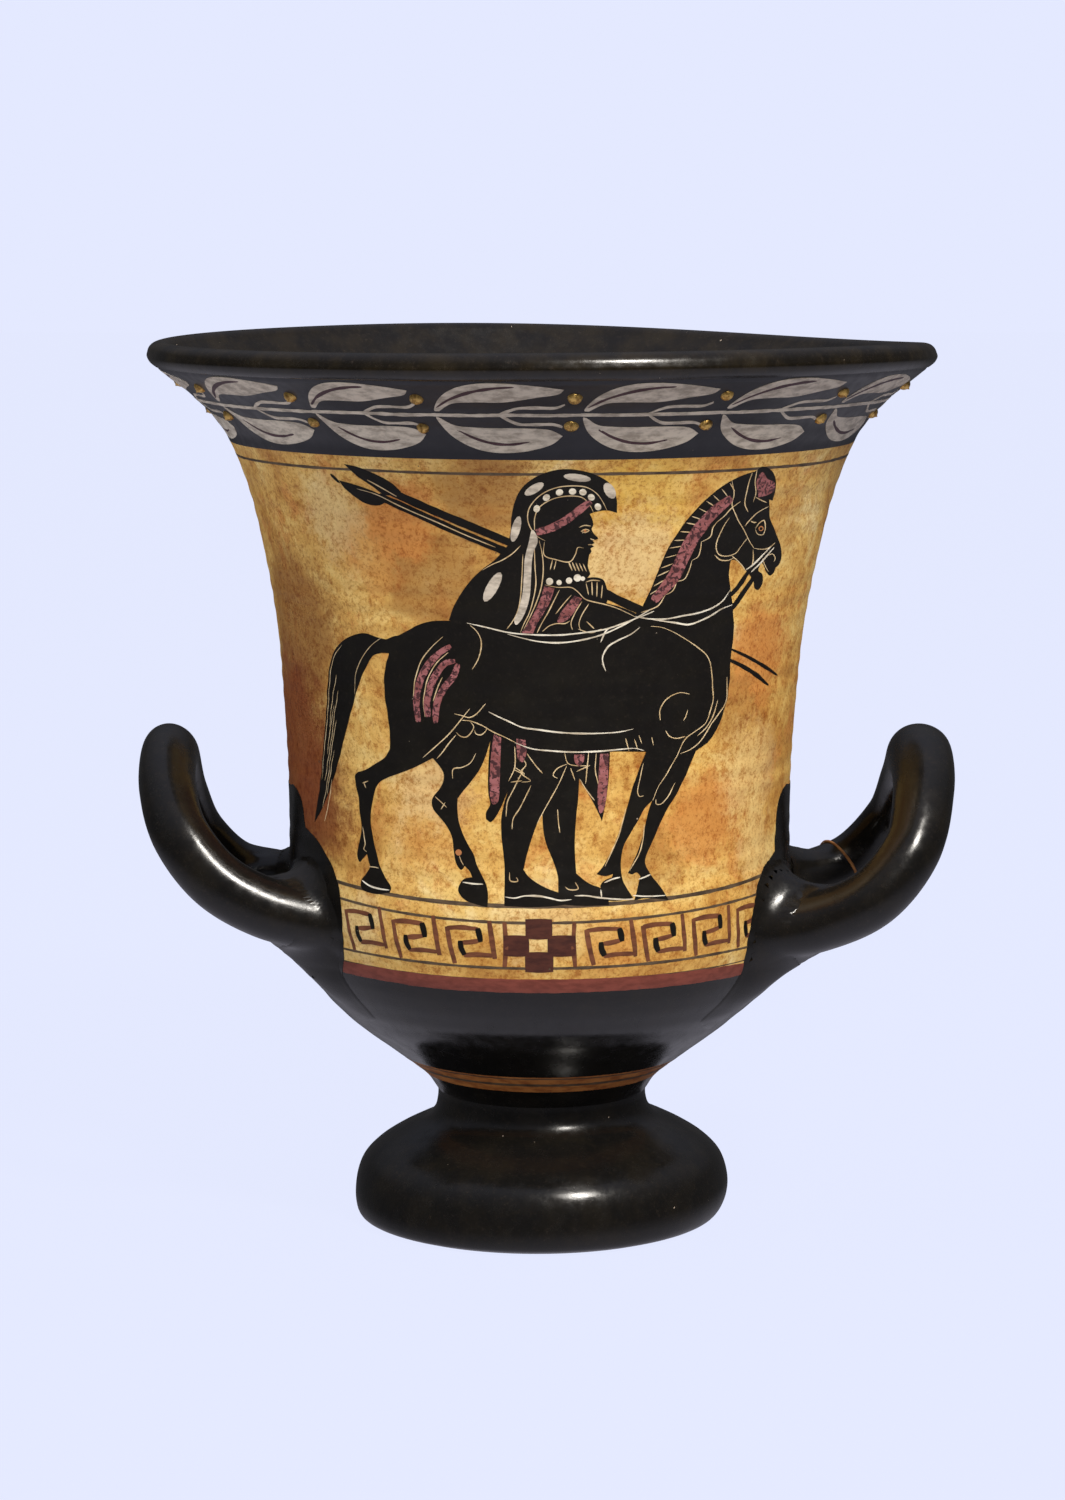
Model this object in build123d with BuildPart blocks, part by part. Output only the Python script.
"""Calyx-krater: a black-glazed wine-mixing bowl with a flaring picture wall, two upturned loop
handles and a spreading foot.

It is built as a potter builds it.  Three thrown pieces (foot, cul and wall) are luted on top of
each other, two pulled handles are luted to the cul, and a wreath of raised, gilded clay berries is
dabbed on under the lip, one dab at a time.

Frame: the axis of the bowl is +Z, the ground is Z = 0, the picture faces -Y and the handles point
along +X and -X.  Millimetres throughout; profile points are (radius, height).
"""

from build123d import *
from math import cos, radians, sin
import os

os.makedirs("parts", exist_ok=True)

# ---------------------------------------------------------------- driving dimensions
rim_height = 250.0
rim_radius = 110.2
lip_bulge_height = 246.0        # where the rolled lip is widest
wall_joint = 106.0              # cul meets wall
wall_joint_radius = 70.9
wall_joint_bore = 65.2
foot_joint = 37.0               # foot meets cul
foot_joint_radius = 30.0
foot_ring = (40.0, 46.5)        # inner and outer radius of the ring that touches the ground
foot_edge = [(51.0, 1.7), (52.8, 5.2)]      # rolled edge: where it bulges, where it ends
stem_bore = 15.0
floor_height = 46.5             # inside floor of the bowl, on the axis

handle_radius = 8.2             # arms
crown_radius = 8.8              # top of the bow, where the hand pulls
root_radius = 11.5              # where an arm meets the cul

motif_count = 15                # leaf pairs in the wreath, each followed by two berries
first_motif = 7.8               # azimuth of leaf pair 15, degrees from the picture's centre line
placed_by_eye = {               # degrees by which leaf pairs on the front stray from even spacing
    12: 0.9, 13: 2.0, 14: -0.5, 15: -1.7, 1: -2.8, 2: -2.0,
}
berry_radius = 1.9
berry_seat = 0.02               # slip between a berry's flat back and the wall
berry_rows = {                  # height, and how far before the next leaf pair, in degrees
    "upper": (238.0, 1.9),
    "lower": (230.4, 2.1),
}
berry_drift = (0.7, 0.4)        # hand placing: most sideways in degrees, most up in millimetres

# ---------------------------------------------------------------- profiles
foot_side = [
    (53.1, 10.5), (51.3, 16.6), (47.7, 20.6), (42.3, 24.2), (36.8, 27.0), (32.5, 29.3), (30.3, 32.6),
]
foot_hollow = [(15.5, 31.0), (21.0, 22.5), (31.0, 14.5), (37.5, 6.5)]
cul_side = [(33.3, 42.0), (43.4, 50.0), (53.9, 58.0), (62.0, 66.2), (67.5, 75.5), (70.5, 87.0)]
cul_inside = [(63.6, 86.0), (58.2, 73.0), (49.0, 62.0), (36.0, 53.5), (20.0, 48.2)]
wall_side = [
    (70.65, 112.0), (71.2, 130.0), (72.4, 150.0), (74.2, 170.0), (77.7, 190.0), (82.7, 210.0),
    (89.8, 226.0), (97.0, 234.0), (104.8, 240.6),
]
wall_inside = [
    (97.6, 241.0), (91.2, 233.4), (84.4, 223.4), (77.6, 210.0), (72.6, 190.0), (69.1, 170.0),
    (67.2, 150.0), (65.9, 130.0), (65.2, 114.0),
]
ridge = [(71.5, 100.0), (71.6, 104.4)]      # soft arris that crowns the cul, under the wall
lip_shoulder = (107.6, 242.8)
lip_outer_edge = (109.0, 249.0)
lip_crown = (107.0, rim_height)
lip_inner_edge = (104.2, 249.4)

# ---------------------------------------------------------------- handle bows
# Front half of each bow from the crown down to the root, as (outward, forward, height); the back
# half mirrors the plan and takes its own heights, because the bows were bent by hand.
right_bow = {
    "plan": [(107.0, 0.0), (106.5, 21.0), (102.4, 34.5), (91.6, 39.0), (77.0, 37.0), (58.0, 32.0)],
    "front": [132.2, 125.4, 111.2, 98.2, 90.8, 86.8],
    "back": [132.2, 123.2, 108.8, 96.2, 90.6, 87.0],
}
left_bow = {
    "plan": [(104.7, 0.0), (103.8, 20.0), (99.2, 32.5), (89.4, 37.0), (76.5, 37.0), (58.0, 33.5)],
    "front": [133.0, 126.0, 114.6, 102.8, 95.2, 89.8],
    "back": [133.0, 118.8, 104.2, 93.8, 90.4, 87.0],
}
bow_slope = 0.5                 # rise of the plane that a bow roughly lies in
# Where along the bow its thickness is set, and how thick it is there.
bow_sections = [
    (0.0, root_radius), (0.14, handle_radius + 0.5), (0.30, handle_radius), (0.5, crown_radius),
    (0.70, handle_radius), (0.86, handle_radius + 0.5), (1.0, root_radius),
]


def finish_piece(builder, label):
    """Names a finished piece and writes its STEP file."""
    builder.part.label = label
    export_step(builder.part, f"parts/{label}.step")


def foot():
    """Spreading foot: a thick disc with a rolled edge, drawn up into a short hollow stem."""
    with BuildPart() as piece:
        with BuildSketch(Plane.XZ):
            with BuildLine():
                Line((foot_ring[0], 0), (foot_ring[1], 0))
                ThreePointArc((foot_ring[1], 0), *foot_edge)
                Spline(foot_edge[1], *foot_side, (foot_joint_radius, foot_joint))
                Line((foot_joint_radius, foot_joint), (stem_bore, foot_joint))
                Spline((stem_bore, foot_joint), *foot_hollow, (foot_ring[0], 0))
            make_face()
        revolve(axis=Axis.Z)
    finish_piece(piece, "foot")


def cul():
    """Cul: the closed lower bowl, rising from the stem to a soft ridge under the wall."""
    with BuildPart() as piece:
        with BuildSketch(Plane.XZ):
            with BuildLine():
                Line((0, foot_joint), (foot_joint_radius, foot_joint))
                Spline((foot_joint_radius, foot_joint), *cul_side, ridge[0])
                ThreePointArc(ridge[0], ridge[1], (wall_joint_radius, wall_joint))
                Line((wall_joint_radius, wall_joint), (wall_joint_bore, wall_joint))
                Spline((wall_joint_bore, wall_joint), *cul_inside, (0, floor_height),
                       tangents=[(0, -1), (-1, 0)])
                Line((0, floor_height), (0, foot_joint))
            make_face()
        revolve(axis=Axis.Z)
    finish_piece(piece, "cul")


def wall():
    """Wall: the flaring picture wall with its rolled lip, open at both ends."""
    with BuildPart() as piece:
        with BuildSketch(Plane.XZ):
            with BuildLine():
                Spline((wall_joint_radius, wall_joint), *wall_side, lip_shoulder)
                ThreePointArc(lip_shoulder, (rim_radius, lip_bulge_height), lip_outer_edge)
                ThreePointArc(lip_outer_edge, lip_crown, lip_inner_edge)
                Spline(lip_inner_edge, *wall_inside, (wall_joint_bore, wall_joint))
                Line((wall_joint_bore, wall_joint), (wall_joint_radius, wall_joint))
            make_face()
        revolve(axis=Axis.Z)
    finish_piece(piece, "wall")


def body_envelope():
    """Everything inside the outer surface of cul and wall: what the handles are luted to."""
    with BuildPart() as envelope:
        with BuildSketch(Plane.XZ):
            with BuildLine():
                Line((0, foot_joint), (foot_joint_radius, foot_joint))
                Spline((foot_joint_radius, foot_joint), *cul_side, ridge[0])
                ThreePointArc(ridge[0], ridge[1], (wall_joint_radius, wall_joint))
                Spline((wall_joint_radius, wall_joint), *wall_side, lip_shoulder)
                Line(lip_shoulder, (0, lip_shoulder[1]))
                Line((0, lip_shoulder[1]), (0, foot_joint))
            make_face()
        revolve(axis=Axis.Z)
    return envelope


def bow_points(bow, side):
    """Points of a whole bow, from its front root over the crown to its back root."""
    front = [(side * x, -y, z) for (x, y), z in zip(bow["plan"], bow["front"])]
    back = [(side * x, y, z) for (x, y), z in zip(bow["plan"], bow["back"])]
    return front[::-1] + back[1:]


def handle(label, bow, side, envelope):
    """Loop handle: a thick roll of clay that leaves the cul, turns up and comes back."""
    with BuildPart() as piece:
        with BuildLine() as centre:
            Spline(*bow_points(bow, side))
        path = centre.line
        bow_normal = Vector(-side * bow_slope, 0, 1)
        for place, radius in bow_sections:
            along = path % place
            with BuildSketch(Plane(path @ place, x_dir=bow_normal.cross(along), z_dir=along)):
                Circle(radius)
        sweep(path=path, multisection=True)
        add(envelope.part, mode=Mode.SUBTRACT)
    finish_piece(piece, label)


def wall_point(height):
    """The point (radius, height) of the wall's outer profile at a height, and its outward normal."""
    profile = Spline((wall_joint_radius, wall_joint), *wall_side, lip_shoulder)
    low, high = 0.0, 1.0
    for _ in range(40):
        middle = (low + high) / 2
        if (profile @ middle).Y < height:
            low = middle
        else:
            high = middle
    tangent = profile % low
    return profile @ low, Vector(tangent.Y, -tangent.X)


def berries():
    """Raised berries: domes of clay on the wall, two at the end of every sprig of the wreath."""
    pitch = 360.0 / motif_count
    for row, (row_height, lead) in berry_rows.items():
        for number in range(1, motif_count + 1):
            sway = sin(2.3 * number + row_height)
            point, normal = wall_point(row_height + berry_drift[1] * sway)
            leaf_pair = first_motif + number * pitch + placed_by_eye.get(number, 0)
            azimuth = radians(leaf_pair - lead + berry_drift[0] * sway)
            seat = point.X + berry_seat * normal.X
            height = point.Y + berry_seat * normal.Y
            with BuildPart() as piece:
                with Locations(Plane(
                    origin=(seat * sin(azimuth), -seat * cos(azimuth), height),
                    z_dir=(normal.X * sin(azimuth), -normal.X * cos(azimuth), normal.Y),
                )):
                    Sphere(berry_radius, arc_size1=0, align=(Align.CENTER, Align.CENTER, Align.MIN))
            finish_piece(piece, f"berry_{row}_{number:02d}")


foot()
cul()
wall()
outside = body_envelope()
handle("handle_right", right_bow, 1, outside)
handle("handle_left", left_bow, -1, outside)
berries()
